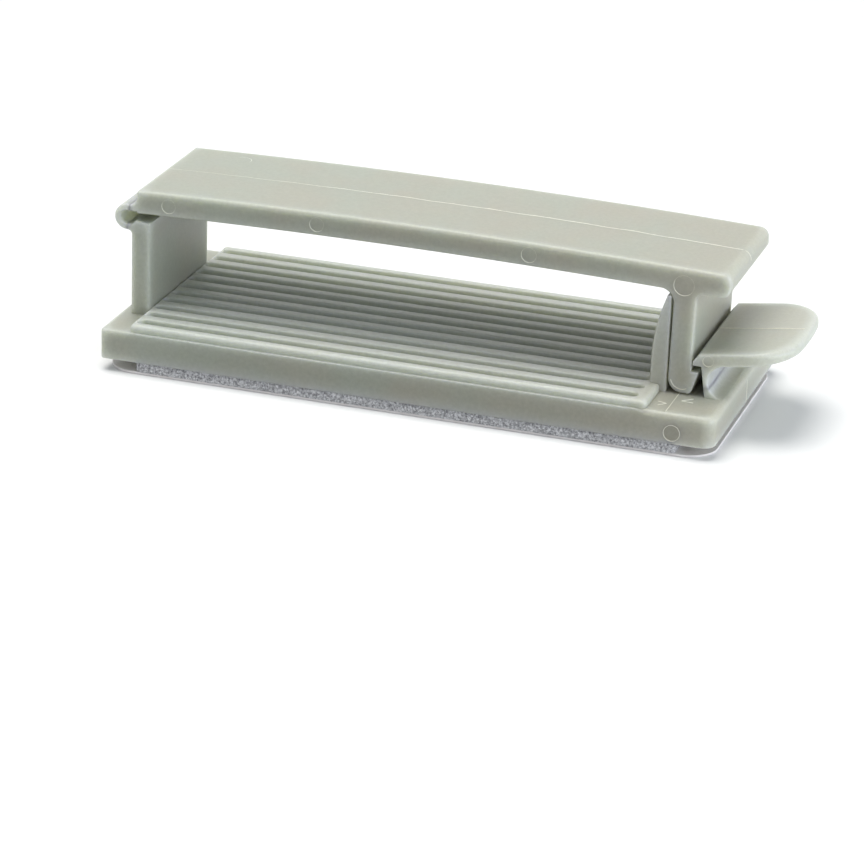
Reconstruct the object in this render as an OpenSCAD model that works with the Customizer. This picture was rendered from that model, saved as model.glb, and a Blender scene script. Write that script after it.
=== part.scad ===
// Flat-cable holder: a nylon clip on an adhesive foam pad.
// The strap opens on a looped living hinge, and a barbed leg at its other end
// snaps under a flexing catch with a thumb tab.
// X runs along the strap towards the thumb tab, Y across it, and Z up.
// The origin is on the underside of the release liner, below the middle of the base.

/* [Base] */
// Length of the base plate
base_len = 61; // [50:0.5:90]
// Depth of the base plate
base_depth = 26; // [20:0.5:40]
// Thickness of the base plate
base_t = 3; // [2.2:0.1:5]
// Radius of the base plate's upright corners at the catch's end
base_corner_r = 1.3; // [0.3:0.1:4]
// Radius of the base plate's upright corners at the hinge's end
hinge_end_corner_r = 0.4; // [0.1:0.1:4]
// Width of the ledge that the base leaves outside the hinge post
ledge_w = 1.05; // [0.2:0.05:3]
// Width of the land that the base leaves behind the foot of the catch
heel_w = 0.45; // [0.1:0.05:6]

/* [Cable channel] */
// Height of the raised floor that the cables lie on
floor_rise = 0.75; // [0.4:0.05:1.5]
// How far the raised floor is set back from the base's long sides
floor_inset = 0.2; // [0.05:0.05:2]
// How far the raised floor runs on below the guard
floor_past_guard = 1.0; // [0.2:0.1:1.4]
// Radius of the upright corners of the raised floor
floor_corner_r = 0.5; // [0.1:0.1:2]
// Width of each relief slot in the raised floor
slot_w = 1.15; // [0.6:0.05:1.8]
// Distance between neighbouring slots
slot_pitch = 2.25; // [2:0.05:4]
// Depth of each slot below the raised floor
slot_depth = 1.6; // [0.5:0.1:2.2]
// Land left between the slots' ends and the walls of the channel
slot_end_land = 0.15; // [0:0.05:4]

/* [Clip] */
// Depth of the post, strap, leg and catch, which are narrower than the base
clip_depth = 15.6; // [10:0.2:18]

/* [Hinge post] */
// Thickness of the hinge post
post_t = 1.9; // [1.2:0.1:3]
// Height of the hinge post above the base's underside
post_h = 12.55; // [9:0.05:22]
// Fall of the post's top towards the channel
post_top_fall = 0.18; // [0:0.02:0.4]
// Size of the chamfer on the post's outer top edge
post_chamfer = 0.42; // [0.1:0.02:0.6]

/* [Living hinge] */
// Distance of the loop's centre outside the post's outer face
hinge_out = 0.5; // [0.1:0.05:1.5]
// Height of the loop's centre above the top of the post
hinge_rise = 0.25; // [0.1:0.05:0.4]
// Radius of the hollow inside the loop
hinge_hollow_r = 0.66; // [0.5:0.02:0.8]
// Wall of the loop, which is what bends
hinge_wall = 0.62; // [0.4:0.02:0.9]
// Radius of the fillet below the loop, at the post
hinge_fillet = 0.45; // [0.1:0.05:0.5]
// Radius of the fillet above the loop, at the end of the strap
hinge_top_fillet = 0.75; // [0.1:0.05:0.9]

/* [Strap] */
// Gap between the top of the post and the underside of the strap
strap_gap = 0.75; // [0.6:0.05:1]
// Distance of the strap's hinge end inside the post's outer face
strap_inset = 0.5; // [0.2:0.05:1]
// Thickness of the strap
strap_t = 2.3; // [1.6:0.1:4]
// Upward bow of the strap at its middle
strap_bow = 0.5; // [0:0.05:2]
// Fall of the strap from its hinge end to its free end
strap_fall = 0.35; // [0:0.05:0.8]
// Length of the strap beyond the leg
strap_past_leg = 3.15; // [2:0.05:6]
// Radius of the strap's free end
strap_end_r = 0.9; // [0.3:0.05:1]
// Radius of the strap's upper edge at the hinge
strap_top_r = 0.3; // [0.1:0.05:0.6]

/* [Guard] */
// Thickness of the guard at its foot
guard_t = 1.6; // [1.2:0.1:2.4]
// Height over which the guard keeps its full thickness, above the base's underside
guard_straight_h = 6; // [4.5:0.1:8]
// Radius of the guard's curved face above that
guard_curve_r = 18; // [16:1:60]
// Least thickness of the guard's tip
guard_tip_t = 0.4; // [0.2:0.05:1]
// Clearance between the guard's tip and the fillet of the strap
guard_tip_gap = 0.6; // [0.4:0.05:2]

/* [Latch leg] */
// Clearance between the guard and the leg
leg_gap = 0.1; // [0.05:0.05:0.4]
// Thickness of the leg
leg_t = 2.2; // [1.6:0.1:3]
// How much further out the leg's root is than its foot
leg_lean = 0.12; // [0:0.02:0.3]
// Clearance between the leg's foot and the base
leg_foot_gap = 0.12; // [0.05:0.01:0.5]
// Radius of the leg's heel
leg_heel_r = 1.35; // [0.3:0.05:1.4]
// Radius of the leg's toe
leg_toe_r = 0.5; // [0.1:0.05:0.6]
// Reach of the barb beyond the leg's face
barb_out = 0.65; // [0.3:0.05:0.7]
// Height of the barb's ledge above the base's top
barb_h = 2.35; // [1.9:0.05:3]
// How far the toe of the leg runs on below the barb
barb_lead = 0.03; // [0:0.01:0.2]
// Height of the upright face below the barb's ledge
barb_face = 0.2; // [0.1:0.05:0.4]
// Radius of the fillet between the strap and the leg, towards the cables
leg_inner_fillet = 1.35; // [0.4:0.05:1.6]
// Radius of the fillet between the strap and the leg, towards the free end
leg_outer_fillet = 0.7; // [0.2:0.05:0.9]

/* [Catch] */
// Clearance between the leg's face and the catch's nose
catch_gap = 0.1; // [0.05:0.05:0.4]
// Gap between the barb's ledge and the catch
latch_play = 0.65; // [0.2:0.05:0.8]
// Length of the catch's nose in front of its arm
nose_len = 0.82; // [0.75:0.01:1.2]
// Height of the nose's tip above its underside
nose_tip_h = 0.43; // [0.15:0.01:0.6]
// How far the nose's upper edge lies behind its tip
nose_slope_len = 0.6; // [0.2:0.05:0.7]
// Thickness of the catch's arm where it is thinnest
arm_t = 0.48; // [0.4:0.02:0.8]
// How much further out the foot of the arm is than its top
arm_lean = 0.48; // [0.2:0.02:0.6]
// Height of the stretch of the arm that bends
arm_flex_h = 1.5; // [0.8:0.1:1.8]

/* [Thumb tab] */
// Length of the catch from its nose to the end of the thumb tab
tab_len = 9.5; // [7:0.05:14]
// Thickness of the thumb tab
tab_t = 1.2; // [0.8:0.05:1.6]
// Upward slope of the thumb tab, in degrees
tab_tilt = 8; // [4:0.5:14]
// Radius of the corners of the thumb tab, seen from above
tab_corner_r = 3.1; // [1:0.1:3.4]
// How much further the thumb tab reaches at its middle than at its corners
tab_crown = 1; // [0:0.1:2]
// Radius of the thumb tab's end, seen from the side
tab_end_r = 0.4; // [0.1:0.05:0.4]

/* [Adhesive pad] */
// Thickness of the foam pad
foam_t = 0.95; // [0.6:0.05:2]
// Distance from the foam pad's ends to the ends of the base
foam_end_inset = 3.5; // [0:0.1:8]
// Radius of the foam pad's corners
foam_corner_r = 0.4; // [0.1:0.1:4]
// Thickness of the release liner
liner_t = 0.25; // [0.1:0.05:0.5]
// Distance from the liner's edge to the edge of the base
liner_inset = 0.2; // [0:0.05:1]
// Radius of the release liner's corners
liner_corner_r = 3; // [0.5:0.1:6]

/* [Hidden] */
$fn = 96;
nylon = [0.76, 0.77, 0.71];
foam_colour = [0.86, 0.86, 0.87];
liner_colour = [0.9, 0.88, 0.86];

// Steps in each rounded corner, and stretches in each long curve
corner_steps = 8;
bow_steps = 24;
arm_steps = 12;
crown_steps = 4;
// Share of the thumb tab's end that its crown curves across, between the corners
crown_reach = 0.3;
// Overlap that joins two shapes of one piece
join = 0.2;
// Radius of the small edges
edge_r = 0.12;

// Heights
base_z = liner_t + foam_t;
floor_z = base_t + floor_rise;
strap_z = post_h + strap_gap;
hinge_z = post_h + hinge_rise;
hinge_r = hinge_hollow_r + hinge_wall;
leg_z = base_t + leg_foot_gap;
barb_z = base_t + barb_h;
nose_z = barb_z + latch_play;

// The catch's arm is straight towards the latch and rounded out behind, so that it is thinnest
// at its middle, which is where it bends. arm_half reaches from its top to the thinnest place.
arm_half = arm_lean / 2 + arm_t;
arm_round_r =
    (nose_z + arm_half * tan(tab_tilt) - base_t) * cos(tab_tilt)
    / (1 + cos(tab_tilt) - sin(tab_tilt));

// Places along X
post_x = -base_len / 2 + ledge_w;
channel_x = post_x + post_t;
latch_len = guard_t + leg_gap + leg_t + catch_gap + nose_len + arm_half + arm_round_r + heel_w;
guard_x = base_len / 2 - latch_len;
guard_back_x = guard_x + guard_t;
hinge_x = post_x - hinge_out;
strap_x = post_x + strap_inset;
leg_x = guard_back_x + leg_gap;
leg_face_x = leg_x + leg_t;
leg_root_x = leg_x + leg_lean;
leg_root_face_x = leg_face_x + leg_lean;
strap_end_x = leg_root_face_x + strap_past_leg;
strap_len = strap_end_x - strap_x;
nose_x = leg_face_x + catch_gap;
arm_x = nose_x + nose_len;
tab_end_x = nose_x + tab_len;

// Height of the strap's underside at x
function strap_under(x) =
    let (share = (x - strap_x) / strap_len)
    strap_z - strap_fall * share + 4 * strap_bow * share * (1 - share);

// Height of the thumb tab's underside at x
function tab_under(x) = nose_z + (x - arm_x) * tan(tab_tilt);

// The points of one corner rounded to radius r, between neighbours a and b
function rounded_corner(a, p, b, r) =
    r <= 0 ? [p] :
    let (
        u = (a - p) / norm(a - p),
        v = (b - p) / norm(b - p),
        half = acos(u * v) / 2,
        middle = p + (u + v) / norm(u + v) * r / sin(half),
        first = p + u * r / tan(half) - middle,
        last = p + v * r / tan(half) - middle,
        start = atan2(first[1], first[0]),
        turn = atan2(last[1], last[0]) - start,
        sweep = turn > 180 ? turn - 360 : turn < -180 ? turn + 360 : turn
    )
    [
        for (i = [0 : corner_steps])
            let (angle = start + sweep * i / corner_steps)
            middle + r * [cos(angle), sin(angle)]
    ];

// An outline from corners given as [x, y, radius]
function rounded_outline(corners) =
    let (count = len(corners))
    [
        for (i = [0 : count - 1])
            let (
                p = corners[i],
                a = corners[(i + count - 1) % count],
                b = corners[(i + 1) % count]
            )
            each rounded_corner([a[0], a[1]], [p[0], p[1]], [b[0], b[1]], p[2])
    ];

// Extrudes an outline drawn in X and Z along Y, centred on the clip, with Z from the base's underside
module across(depth) {
    translate([0, 0, base_z])
        rotate([90, 0, 0])
            linear_extrude(height = depth, center = true)
                children();
}

// A plate from x0 to x1, centred on Y, with upright corners of radius left_r at x0, right_r at x1
module plate(x0, x1, depth, left_r, right_r, z, thickness) {
    half_len = (x1 - x0) / 2;
    most_r = min(half_len, depth / 2) - 0.01;
    translate([0, 0, z])
        linear_extrude(height = thickness) {
            translate([x0, 0])
                plate_half(half_len, depth, min(left_r, most_r));
            translate([x1, 0])
                mirror([1, 0])
                    plate_half(half_len, depth, min(right_r, most_r));
        }
}

// Half of a plate, from its rounded end at x = 0 to its middle
module plate_half(half_len, depth, r) {
    translate([r, -depth / 2])
        square([half_len - r, depth]);
    translate([0, -depth / 2 + r])
        square([half_len, depth - 2 * r]);
    for (y = [-depth / 2 + r, depth / 2 - r])
        translate([r, y])
            circle(r = r);
}

// Base

slot_room = base_depth / 2 - floor_inset - slot_w / 2;
slots_each_side = floor(slot_room / slot_pitch);

// Round-ended relief slots along the channel
module floor_slots() {
    x0 = channel_x + slot_end_land + slot_w / 2;
    x1 = guard_x - slot_end_land - slot_w / 2;
    translate([0, 0, base_z + floor_z - slot_depth])
        linear_extrude(height = slot_depth + join)
            for (i = [-slots_each_side : slots_each_side])
                translate([0, i * slot_pitch]) {
                    translate([x0, -slot_w / 2])
                        square([x1 - x0, slot_w]);
                    for (x = [x0, x1])
                        translate([x, 0])
                            circle(d = slot_w);
                }
}

// The floor that the cables lie on
module raised_floor() {
    x1 = guard_x + floor_past_guard;
    depth = base_depth - 2 * floor_inset;
    z = base_z + base_t - join;
    plate(channel_x, x1, depth, floor_corner_r, floor_corner_r, z, floor_rise + join);
}

// Outline of the post that carries the hinge
module post_outline() {
    polygon([
        [post_x, base_t - join],
        [channel_x, base_t - join],
        [channel_x, post_h - post_top_fall],
        [post_x + post_chamfer, post_h],
        [post_x, post_h - post_chamfer]
    ]);
}

strap_over_guard_z = strap_under(guard_back_x);
guard_h = strap_over_guard_z - guard_tip_gap;

// Offset of the guard's curved face at height z
function guard_curve(z) =
    guard_curve_r - sqrt(pow(guard_curve_r, 2) - pow(max(0, z - guard_straight_h), 2));

// Outline of the fin that keeps the cables off the latch
module guard_outline() {
    rise = guard_h - guard_straight_h;
    face = [
        for (i = [0 : bow_steps])
            let (z = guard_h - rise * i / bow_steps)
            [guard_x + min(guard_curve(z), guard_t - guard_tip_t), z]
    ];
    polygon(concat(
        [[guard_x, base_t - join], [guard_back_x, base_t - join], [guard_back_x, guard_h]],
        face
    ));
}

// Centre of the arm's rounded back, and the heights between which the arm bends
arm_round = [arm_x + arm_half + arm_round_r, base_t + arm_round_r];
flex_angle = asin(min(0.9, arm_flex_h / 2 / arm_round_r));
flex_z0 = arm_round[1] - arm_round_r * sin(flex_angle);
flex_z1 = arm_round[1] + arm_round_r * sin(flex_angle);

// The arm's face towards the latch, at height z
function arm_front(z) = [arm_x + arm_lean * (nose_z - z) / (nose_z - base_t), z];

// Points of the arm's rounded back, between two angles
function arm_back(from, to) = [
    for (i = [0 : arm_steps])
        let (angle = from + (to - from) * i / arm_steps)
        arm_round + arm_round_r * [cos(angle), sin(angle)]
];

// The foot of the arm, which blends into the base
module arm_foot_outline() {
    polygon(concat(
        arm_back(180 + flex_angle, 270),
        [[arm_round[0], base_t - join], arm_front(base_t - join), arm_front(flex_z0)]
    ));
}

module base_plate() {
    x1 = base_len / 2;
    plate(-x1, x1, base_depth, hinge_end_corner_r, base_corner_r, base_z, base_t);
}

module base() {
    color(nylon) {
        difference() {
            union() {
                base_plate();
                raised_floor();
            }
            floor_slots();
        }
        across(clip_depth) {
            post_outline();
            guard_outline();
            arm_foot_outline();
        }
    }
}

// Living hinge

module hinge_loop() {
    color(nylon)
        across(clip_depth) {
            difference() {
                translate([hinge_x, hinge_z])
                    circle(r = hinge_r);
                translate([hinge_x, hinge_z])
                    circle(r = hinge_hollow_r);
                translate([hinge_x, hinge_z - 2 * hinge_r])
                    square(4 * hinge_r);
            }
            // lower run, into the post
            translate([hinge_x, hinge_z - hinge_r])
                square([hinge_out, hinge_wall]);
            difference() {
                translate([post_x - hinge_fillet, hinge_z - hinge_r - hinge_fillet])
                    square(hinge_fillet);
                translate([post_x - hinge_fillet, hinge_z - hinge_r - hinge_fillet])
                    circle(r = hinge_fillet);
            }
            // upper run, into the strap
            translate([hinge_x, hinge_z + hinge_hollow_r])
                square([strap_x - hinge_x, hinge_wall]);
            difference() {
                translate([strap_x - hinge_top_fillet, hinge_z + hinge_r])
                    square(hinge_top_fillet);
                translate([strap_x - hinge_top_fillet, hinge_z + hinge_r + hinge_top_fillet])
                    circle(r = hinge_top_fillet);
            }
        }
}

// Strap with its latch leg

module strap() {
    leg_root_z = strap_under(leg_root_x);
    leg_root_face_z = strap_under(leg_root_face_x);
    end_z = strap_under(strap_end_x);
    bow_end = leg_root_x - 2 * leg_inner_fillet;
    bow_run = bow_end - strap_x;
    under = [
        for (i = [1 : bow_steps])
            let (x = strap_x + bow_run * i / bow_steps)
            [x, strap_under(x), 0]
    ];
    top_run = strap_len - 2 * strap_end_r;
    top = [
        for (i = [bow_steps : -1 : 1])
            let (x = strap_x + top_run * i / bow_steps)
            [x, strap_under(x) + strap_t, 0]
    ];
    leg = [
        [leg_root_x, leg_root_z, leg_inner_fillet],
        [leg_x, leg_z, leg_heel_r],
        [leg_face_x + barb_lead, leg_z, leg_toe_r],
        [leg_face_x + barb_out, barb_z - barb_face, edge_r],
        [leg_face_x + barb_out, barb_z, edge_r / 2],
        [leg_face_x, barb_z, 0],
        [leg_root_face_x, leg_root_face_z, leg_outer_fillet]
    ];
    end = [
        [strap_end_x, end_z, strap_end_r],
        [strap_end_x, end_z + strap_t, strap_end_r]
    ];
    color(nylon)
        across(clip_depth)
            polygon(rounded_outline(concat(
                [[strap_x, strap_z, edge_r]],
                under,
                leg,
                end,
                top,
                [[strap_x, strap_z + strap_t, strap_top_r]]
            )));
}

// Catch with its thumb tab

module catch_outline() {
    rise = tab_t / cos(tab_tilt);
    nose_top_x = nose_x + nose_slope_len;
    back = [for (p = arm_back(90 + tab_tilt, 180 - flex_angle)) [p[0], p[1], 0]];
    front = arm_front(flex_z1);
    polygon(rounded_outline(concat(
        [
            [nose_x + edge_r, nose_z, edge_r / 2],
            [nose_x, nose_z + nose_tip_h, edge_r],
            [nose_top_x, tab_under(nose_top_x) + rise, 2 * edge_r],
            [tab_end_x, tab_under(tab_end_x) + rise, tab_end_r],
            [tab_end_x, tab_under(tab_end_x), tab_end_r]
        ],
        back,
        [[front[0], front[1], 0], [arm_x, nose_z, 0]]
    )));
}

// The thumb tab's outline seen from above
module tab_plan() {
    half = clip_depth / 2;
    crown = [
        for (share = [-crown_reach : crown_reach / crown_steps : crown_reach])
            [tab_end_x - tab_crown * pow(share, 2), share * half, 0]
    ];
    polygon(rounded_outline(concat(
        [
            [nose_x - join, -half, 0],
            [tab_end_x - tab_crown, -half, tab_corner_r]
        ],
        crown,
        [
            [tab_end_x - tab_crown, half, tab_corner_r],
            [nose_x - join, half, 0]
        ]
    )));
}

module catch() {
    color(nylon)
        intersection() {
            across(clip_depth)
                catch_outline();
            translate([0, 0, base_z])
                linear_extrude(height = tab_under(tab_end_x) + 2 * tab_t)
                    tab_plan();
        }
}

// The stretch of the arm that bends when the tab is pressed
module catch_arm() {
    color(nylon)
        across(clip_depth)
            polygon(concat(
                arm_back(180 - flex_angle, 180 + flex_angle),
                [arm_front(flex_z0), arm_front(flex_z1)]
            ));
}

// Adhesive pad

module foam_pad() {
    x1 = base_len / 2 - foam_end_inset;
    color(foam_colour)
        plate(-x1, x1, base_depth, foam_corner_r, foam_corner_r, liner_t, foam_t);
}

module release_liner() {
    x1 = base_len / 2 - liner_inset;
    depth = base_depth - 2 * liner_inset;
    color(liner_colour)
        plate(-x1, x1, depth, liner_corner_r, liner_corner_r, 0, liner_t);
}

base();
strap();
hinge_loop();
catch();
catch_arm();
foam_pad();
release_liner();
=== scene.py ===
import math

import bmesh
import bpy
from mathutils import Matrix, Vector, noise

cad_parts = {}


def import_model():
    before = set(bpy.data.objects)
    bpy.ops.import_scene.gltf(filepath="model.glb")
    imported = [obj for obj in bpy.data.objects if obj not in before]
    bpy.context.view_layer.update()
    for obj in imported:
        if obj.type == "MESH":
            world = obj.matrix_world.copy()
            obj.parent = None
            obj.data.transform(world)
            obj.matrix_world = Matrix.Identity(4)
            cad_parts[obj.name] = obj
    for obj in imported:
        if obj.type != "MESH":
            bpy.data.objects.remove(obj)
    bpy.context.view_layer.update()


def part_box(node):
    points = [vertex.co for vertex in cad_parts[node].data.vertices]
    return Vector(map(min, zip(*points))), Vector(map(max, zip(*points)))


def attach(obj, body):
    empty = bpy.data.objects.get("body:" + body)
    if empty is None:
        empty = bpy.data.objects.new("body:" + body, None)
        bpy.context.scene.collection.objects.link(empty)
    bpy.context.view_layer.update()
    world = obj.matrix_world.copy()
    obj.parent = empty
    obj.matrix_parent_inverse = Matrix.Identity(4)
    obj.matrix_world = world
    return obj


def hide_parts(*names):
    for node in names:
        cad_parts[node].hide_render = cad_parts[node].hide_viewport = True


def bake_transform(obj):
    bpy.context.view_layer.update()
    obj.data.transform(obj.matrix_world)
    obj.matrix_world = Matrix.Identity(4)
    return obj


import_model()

MM = 0.001
TINY = 1e-6
X_AXIS = Vector((1, 0, 0))
Y_AXIS = Vector((0, 1, 0))
Z_AXIS = Vector((0, 0, 1))

# Sizes in millimetres. Boxes come from the solids, and walls and radii repeat the solids' own.


def box_mm(node):
    lo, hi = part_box(node)
    return lo / MM, hi / MM


base_lo, base_hi = box_mm("base")
strap_lo, strap_hi = box_mm("strap")
catch_lo, catch_hi = box_mm("catch")
arm_lo, arm_hi = box_mm("catch_arm")
foam_lo, foam_hi = box_mm("foam_pad")
liner_lo, liner_hi = box_mm("release_liner")

# Base plate
BASE_T = 3.0
BASE_CORNER_R = 1.3
HINGE_END_CORNER_R = 0.4
HINGE_END_EDGE_R = 0.25
BASE_EDGE_R = 0.6
SHARP_R = 0.12
LEDGE_W = 1.05

# Raised floor and its slots
FLOOR_RISE = 0.75
FLOOR_INSET = 0.2
FLOOR_PAST_GUARD = 1.0
FLOOR_CORNER_R = 0.5
FLOOR_EDGE_R = 0.42
FLOOR_UNDER_R = 0.05
SLOT_W = 1.15
SLOT_PITCH = 2.25
SLOT_DEPTH = 1.6
SLOT_LAND = 0.15
SLOT_RIM_R = 0.18
SLOT_FLOOR_R = 0.2

# Hinge post and loop
POST_T = 1.9
POST_H = 12.55
POST_FALL = 0.18
POST_CHAMFER = 0.42
HINGE_OUT = 0.5
HINGE_RISE = 0.25
HOLLOW_R = 0.66
HINGE_WALL = 0.62
HINGE_FILLET = 0.45
HINGE_TOP_FILLET = 0.75

# Strap
STRAP_GAP = 0.75
STRAP_T = 2.3
STRAP_BOW = 0.5
STRAP_FALL = 0.35
STRAP_END_R = 0.9
STRAP_TOP_R = 0.3

# Guard fin
GUARD_T = 1.6
GUARD_STRAIGHT_H = 6.0
GUARD_CURVE_R = 18.0
GUARD_TIP_T = 0.4
GUARD_TIP_GAP = 0.6

# Latch leg and its barb
LEG_T = 2.2
LEG_LEAN = 0.12
LEG_GAP = 0.1
LEG_HEEL_R = 1.35
LEG_TOE_R = 0.5
LEG_INNER_FILLET = 1.35
LEG_OUTER_FILLET = 0.7
BARB_OUT = 0.65
BARB_LEAD = 0.03
BARB_FACE = 0.2
BARB_H = 2.35
LATCH_PLAY = 0.65

# Catch, its arm and thumb tab
NOSE_LEN = 0.82
NOSE_TIP_H = 0.43
NOSE_SLOPE_LEN = 0.6
ARM_LEAN = 0.48
ARM_T = 0.48
TAB_T = 1.2
TAB_TILT = math.radians(8.0)
TAB_CROWN = 0.6
TAB_BEND_LEN = 3.75
TAB_BEND_W = 4.85
TAB_BEND_POWER = 0.89

# Places that follow from them
base_z = base_lo.z
base_top = base_z + BASE_T
floor_z = base_top + FLOOR_RISE
half_clip = strap_hi.y
half_base = base_hi.y
post_x = base_lo.x + LEDGE_W
channel_x = post_x + POST_T
post_z = base_z + POST_H
hinge_x = post_x - HINGE_OUT
hinge_z = post_z + HINGE_RISE
hinge_r = HOLLOW_R + HINGE_WALL
strap_x = strap_lo.x
strap_end_x = strap_hi.x
strap_z = post_z + STRAP_GAP
strap_len = strap_end_x - strap_x
nose_x = catch_lo.x
tab_end_x = catch_hi.x
leg_z = strap_lo.z
leg_face_x = nose_x - LEG_GAP
leg_x = leg_face_x - LEG_T
guard_back_x = leg_x - LEG_GAP
guard_x = guard_back_x - GUARD_T
barb_z = base_top + BARB_H
nose_z = barb_z + LATCH_PLAY
arm_x = nose_x + NOSE_LEN
arm_half = ARM_LEAN / 2 + ARM_T
arm_round_r = (nose_z + arm_half * math.tan(TAB_TILT) - base_top) * math.cos(TAB_TILT) / (
    1 + math.cos(TAB_TILT) - math.sin(TAB_TILT)
)
arm_round_x = arm_x + arm_half + arm_round_r
arm_round_z = base_top + arm_round_r


def strap_under(x):
    share = (x - strap_x) / strap_len
    return strap_z - STRAP_FALL * share + 4 * STRAP_BOW * share * (1 - share)


def tab_under(x):
    return nose_z + (x - arm_x) * math.tan(TAB_TILT)


def tab_top(x):
    return tab_under(x) + TAB_T / math.cos(TAB_TILT)


def arm_front(z):
    return Vector((arm_x + ARM_LEAN * (nose_z - z) / (nose_z - base_top), z))


def ramp(x, start, end):
    """0 up to the start, 1 from the end on, and straight between them."""
    return min(1.0, max(0.0, (x - start) / (end - start)))


def eased(share):
    """A share that starts and ends level."""
    return share * share * (3 - 2 * share)


# Outlines

MITRE_LIMIT = 0.5


def arc(cx, cy, r, start, end, steps):
    """Points on a circle between two angles in degrees."""
    angles = [math.radians(start + (end - start) * i / steps) for i in range(steps + 1)]
    return [Vector((cx + r * math.cos(a), cy + r * math.sin(a))) for a in angles]


def rounded(corners, edge, step_deg=7.5):
    """A counter-clockwise outline from corners (x, y, radius), and the inward moves of those
    convex corners that are tighter than the edge rounding there, edge(point)."""
    out, tight = [], {}
    count = len(corners)
    for i, (x, y, r) in enumerate(corners):
        p = Vector((x, y))
        if r <= 0:
            out.append(p)
            continue
        a = Vector(corners[i - 1][:2])
        b = Vector(corners[(i + 1) % count][:2])
        u = (a - p).normalized()
        v = (b - p).normalized()
        half = u.angle(v) / 2
        inset = edge(p)
        mitre = p + (u + v).normalized() * inset / math.sin(half)
        convex = u.cross(v) < 0
        centre = p + (u + v).normalized() * r / math.sin(half)
        first = p + u * r / math.tan(half) - centre
        last = p + v * r / math.tan(half) - centre
        start = math.atan2(first.y, first.x)
        turn = math.atan2(last.y, last.x) - start
        turn = (turn + math.pi) % (2 * math.pi) - math.pi
        steps = max(2, round(abs(math.degrees(turn)) / step_deg))
        for k in range(steps + 1):
            angle = start + turn * k / steps
            point = centre + r * Vector((math.cos(angle), math.sin(angle)))
            if convex and r < inset:
                tight[len(out)] = (mitre - point) / edge(point)
            out.append(point)
    return out, tight


def inward(outline, fixed=None):
    """The direction in which each point of a counter-clockwise outline moves when it shrinks."""
    count = len(outline)
    out = []
    for i in range(count):
        if fixed and i in fixed:
            out.append(Vector(fixed[i]))
            continue
        before = (outline[i] - outline[i - 1]).normalized()
        after = (outline[(i + 1) % count] - outline[i]).normalized()
        n1 = Vector((-before.y, before.x))
        n2 = Vector((-after.y, after.x))
        middle = (n1 + n2).normalized()
        out.append(middle / max(MITRE_LIMIT, middle.dot(n1)))
    return out


# Meshes

SMOOTH_DEG = 32.0
ROUGH_SMOOTH_DEG = 60.0


def mesh_object(name, vertices, faces, body, material, smooth_deg=SMOOTH_DEG):
    """A mesh piece, given in millimetres, that rides on a body."""
    data = bpy.data.meshes.new(name)
    data.from_pydata([Vector(v) * MM for v in vertices], [], faces)
    data.validate()
    piece = bpy.data.objects.new(name, data)
    bpy.context.scene.collection.objects.link(piece)
    finish_mesh(piece, smooth_deg)
    data.materials.append(material)
    if body:
        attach(piece, body)
    return piece


def finish_mesh(piece, smooth_deg):
    """Faces point outwards, and edges flatter than the given angle are smooth."""
    bm = bmesh.new()
    bm.from_mesh(piece.data)
    bmesh.ops.remove_doubles(bm, verts=bm.verts, dist=1e-7)
    bmesh.ops.recalc_face_normals(bm, faces=bm.faces)
    limit = math.radians(smooth_deg)
    for face in bm.faces:
        face.smooth = True
    for edge in bm.edges:
        edge.smooth = len(edge.link_faces) == 2 and edge.calc_face_angle(0.0) < limit
    bm.to_mesh(piece.data)
    bm.free()


def weighted_normals(piece):
    """Keeps large flat faces flat beside their rounded edges."""
    modifier = piece.modifiers.new("flat_faces", "WEIGHTED_NORMAL")
    modifier.weight = 100
    modifier.keep_sharp = True
    return piece


def bridge(faces, ring_a, ring_b):
    """Quads between two rings of vertex numbers."""
    count = len(ring_a)
    for i in range(count):
        j = (i + 1) % count
        faces.append((ring_a[i], ring_a[j], ring_b[j], ring_b[i]))


def area(outline):
    return sum(a.cross(b) for a, b in zip(outline, outline[1:] + outline[:1])) / 2


def prism_mesh(outline, half, edge, fixed=None, rows=5):
    """An outline in X and Z extruded along Y, with its front and back edges rounded to the
    radius edge(point)."""
    fixed = fixed or {}
    if area(outline) < 0:
        outline = outline[::-1]
        fixed = {len(outline) - 1 - i: move for i, move in fixed.items()}
    moves = inward(outline, fixed)
    turns = [math.pi / 2 * j / rows for j in range(rows + 1)]
    rings = [(-1, 1 - math.cos(turn), 1 - math.sin(turn)) for turn in turns]
    rings += [(1, rise, inset) for side, rise, inset in reversed(rings)]
    vertices, faces, numbers = [], [], []
    for side, rise, inset in rings:
        numbers.append(range(len(vertices), len(vertices) + len(outline)))
        for p, m in zip(outline, moves):
            q = p + m * inset * edge(p)
            vertices.append((q.x, side * (half - rise * edge(p)), q.y))
    for a, b in zip(numbers, numbers[1:]):
        bridge(faces, a, b)
    faces.append(tuple(numbers[0]))
    faces.append(tuple(reversed(numbers[-1])))
    return vertices, faces


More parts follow.
